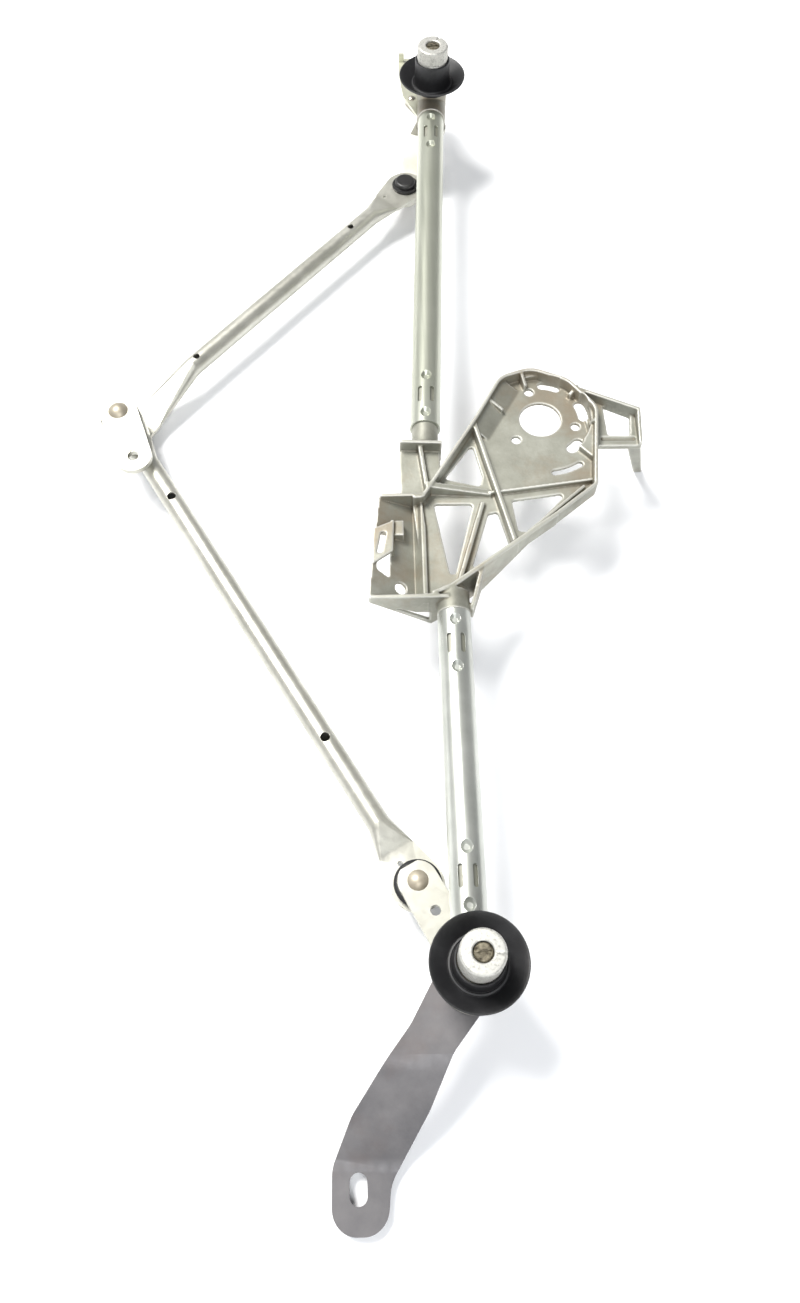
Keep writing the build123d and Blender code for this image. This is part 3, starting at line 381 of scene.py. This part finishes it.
def cast_piece(name, materials):
    """A casting with softly rounded corners, remeshed from the CAD node's own shape."""
    piece = bpy.data.objects.new(name + "_casting", nodes[name].data.copy())
    bpy.context.scene.collection.objects.link(piece)
    remesh = piece.modifiers.new("remesh", "REMESH")
    remesh.mode = "VOXEL"
    remesh.voxel_size = CAST_VOXEL
    relax = piece.modifiers.new("relax", "SMOOTH")
    relax.factor = 0.5
    relax.iterations = 3
    thin = piece.modifiers.new("thin", "DECIMATE")
    thin.ratio = 0.4
    graph = bpy.context.evaluated_depsgraph_get()
    mesh = bpy.data.meshes.new_from_object(piece.evaluated_get(graph), depsgraph=graph)
    bpy.context.scene.collection.objects.unlink(piece)
    bpy.data.objects.remove(piece)
    mesh.shade_smooth()
    stand_in(bpy.data.objects.new(name + "_casting", mesh), name, materials)


def lathe(name, centre, rows, count, wave):
    """A closed ring turned about an upright axis; wave(row, angle) moves a point out and up."""
    shape = bmesh.new()
    loops = []
    for index, (radius, height) in enumerate(rows):
        loop = []
        for step in range(count):
            angle = math.tau * step / count
            out, up = wave(index, angle)
            reach = radius + out
            x = centre[0] + reach * math.cos(angle)
            y = centre[1] + reach * math.sin(angle)
            loop.append(shape.verts.new((x, y, height + up)))
        loops.append(loop)
    for loop, following in zip(loops, loops[1:] + loops[:1]):
        for step in range(count):
            after = (step + 1) % count
            shape.faces.new((loop[step], loop[after], following[after], following[step]))
    mesh = bpy.data.meshes.new(name)
    shape.to_mesh(mesh)
    shape.free()
    mesh.shade_smooth()
    return bpy.data.objects.new(name, mesh)


def knurled_head(end, materials):
    """A drive head with upright serrations round its crown and a small notch in its rim."""
    low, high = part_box(end + "_drive_head")
    centre = ((low[0] + high[0]) / 2, (low[1] + high[1]) / 2)
    radius = (high[0] - low[0]) / 2
    bottom, top = low[2], high[2]
    crown = top - CROWN_DROP[end]
    shelf = top - TIP_HOLE_DEPTH
    notch = math.radians(NOTCH_ANGLE[end])
    skirt = radius - 0.5 * MM
    rows = [(BORE_RADIUS, bottom), (skirt - 0.5 * MM, bottom), (skirt, bottom + 0.5 * MM)]
    if crown - bottom > 2 * MM:
        rows += [(skirt, crown - 0.7 * MM), (skirt - 0.5 * MM, crown - 0.2 * MM)]
    first_tooth = len(rows)
    rows += [(radius, crown + 0.6 * MM), (radius, top - 1.5 * MM)]
    last_tooth = len(rows) - 1
    rows += [
        (radius - 0.6 * MM, top - 0.7 * MM),
        (radius - 1.3 * MM, top - 0.1 * MM),
        (radius - 2.0 * MM, top),
        (TIP_HOLE_RADIUS + 0.7 * MM, top),
        (TIP_HOLE_RADIUS, top - 0.5 * MM),
        (TIP_HOLE_RADIUS, shelf),
        (BORE_RADIUS, shelf),
    ]

    def wave(index, angle):
        out = 0.0
        if first_tooth <= index <= last_tooth:
            out = -KNURL_DEPTH * (0.5 - 0.5 * math.cos(KNURL_TEETH * angle))
        gap = abs((angle - notch + math.pi) % math.tau - math.pi) * radius
        depth = max(0.0, NOTCH_DEPTH - gap)
        return out, -depth * NOTCH_SHARE.get(index - last_tooth, 0.0)

    head = lathe(end + "_knurled_head", centre, rows, KNURL_TEETH * KNURL_STEPS, wave)
    stand_in(head, end + "_drive_head", materials)
    return head


def splined_tip(end, materials):
    """The toothed ring of the spindle end that the drive head is pressed and peened on to."""
    low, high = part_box(end + "_spindle")
    centre = ((low[0] + high[0]) / 2, (low[1] + high[1]) / 2)
    top = high[2]
    inner = TIP_RADIUS - 0.3 * MM
    outer = TIP_RADIUS + SPLINE_DEPTH
    rows = [
        (inner, top - SPLINE_BOTTOM),
        (outer, top - SPLINE_BOTTOM),
        (outer, top - 0.9 * MM),
        (outer - 0.35 * MM, top - SPLINE_TOP),
        (inner, top - SPLINE_TOP),
    ]

    def wave(index, angle):
        if index in (1, 2, 3):
            return -SPLINE_DEPTH * (0.5 - 0.5 * math.cos(SPLINE_TEETH * angle)), 0.0
        return 0.0, 0.0

    ring = lathe(end + "_spindle_splines", centre, rows, SPLINE_TEETH * 6, wave)
    bpy.context.scene.collection.objects.link(ring)
    ring.data.materials.append(materials["spindle_steel"])
    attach(ring, body_holding(end + "_spindle"))
    return ring


# --- stage -------------------------------------------------------------------------------------
def build_floor():
    """A pale table top under the whole part."""
    place = (PART_MIDDLE[0], PART_MIDDLE[1], FLOOR - FLOOR_GAP)
    bpy.ops.mesh.primitive_plane_add(size=FLOOR_SIZE, location=place)
    floor = bpy.context.object
    floor.name = "table_top"
    material, _, _, shader = new_material("table_look")
    shader.inputs["Base Color"].default_value = (0.95, 0.955, 0.97, 1)
    shader.inputs["Roughness"].default_value = 0.6
    floor.data.materials.append(material)


def area_light(name, place, target, size, power, colour):
    """A soft square light aimed at a point."""
    data = bpy.data.lights.new(name, "AREA")
    data.size = size
    data.energy = power
    data.color = colour
    light = bpy.data.objects.new(name, data)
    light.location = place
    aim = Vector(target) - Vector(place)
    light.rotation_euler = aim.to_track_quat("-Z", "Y").to_euler()
    bpy.context.scene.collection.objects.link(light)


def build_world():
    """A plain room, paler towards the horizon and the left, where the window is."""
    world = bpy.data.worlds.new("room")
    world.use_nodes = True
    tree = world.node_tree
    coords = tree.nodes.new("ShaderNodeTexCoord")
    axes = tree.nodes.new("ShaderNodeSeparateXYZ")
    tree.links.new(coords.outputs["Generated"], axes.inputs[0])
    stops = [
        (0.0, (0.82, 0.83, 0.85)),
        (0.45, (0.64, 0.65, 0.67)),
        (0.9, (0.42, 0.425, 0.43)),
    ]
    sky = colour_ramp(tree.nodes, tree.links, axes.outputs["Z"], stops)
    away = map_range(tree.nodes, tree.links, axes.outputs["X"], -0.2, 0.9, 0.0, 0.8)
    sky = mix_colour(tree.nodes, tree.links, away, sky, (0.14, 0.142, 0.15))
    tree.links.new(sky, tree.nodes["Background"].inputs["Color"])
    tree.nodes["Background"].inputs["Strength"].default_value = 0.85
    bpy.context.scene.world = world


def build_lights():
    """One large soft window light from the far left and a weaker fill light from the near end."""
    area_light("window", (-1.15, 1.2, 2.4), PART_MIDDLE, 1.1, 130.0, (1.0, 0.985, 0.96))
    area_light("near_fill", (0.30, -1.25, 1.55), PART_MIDDLE, 1.3, 34.0, (0.96, 0.98, 1.0))


def build_camera():
    """A phone held over the near end, looking down and along the part."""
    data = bpy.data.cameras.new("camera")
    data.sensor_fit = "VERTICAL"
    data.sensor_height = SENSOR_HEIGHT
    data.lens = CAMERA_LENS
    data.clip_start = 0.01
    camera = bpy.data.objects.new("camera", data)
    camera.location = CAMERA_PLACE
    camera.rotation_euler = (math.radians(CAMERA_TILT), 0, math.radians(CAMERA_TURN))
    bpy.context.scene.collection.objects.link(camera)
    bpy.context.scene.camera = camera


build_floor()
build_world()
build_lights()
build_camera()
looks = make_materials()
by_angle = smooth_by_angle_group()
for entry in frame["record"]["subparts"]:
    node = nodes[entry["node"]]
    node.data.materials.clear()
    node.data.materials.append(looks[entry["material_slot"]])
    shade_by_angle(node, by_angle)
for name in CAST_NODES:
    cast_piece(name, looks)
for end in ("lower", "upper"):
    shade_by_angle(knurled_head(end, looks), by_angle)
    shade_by_angle(splined_tip(end, looks), by_angle)
bpy.context.scene.view_settings.view_transform = "Standard"
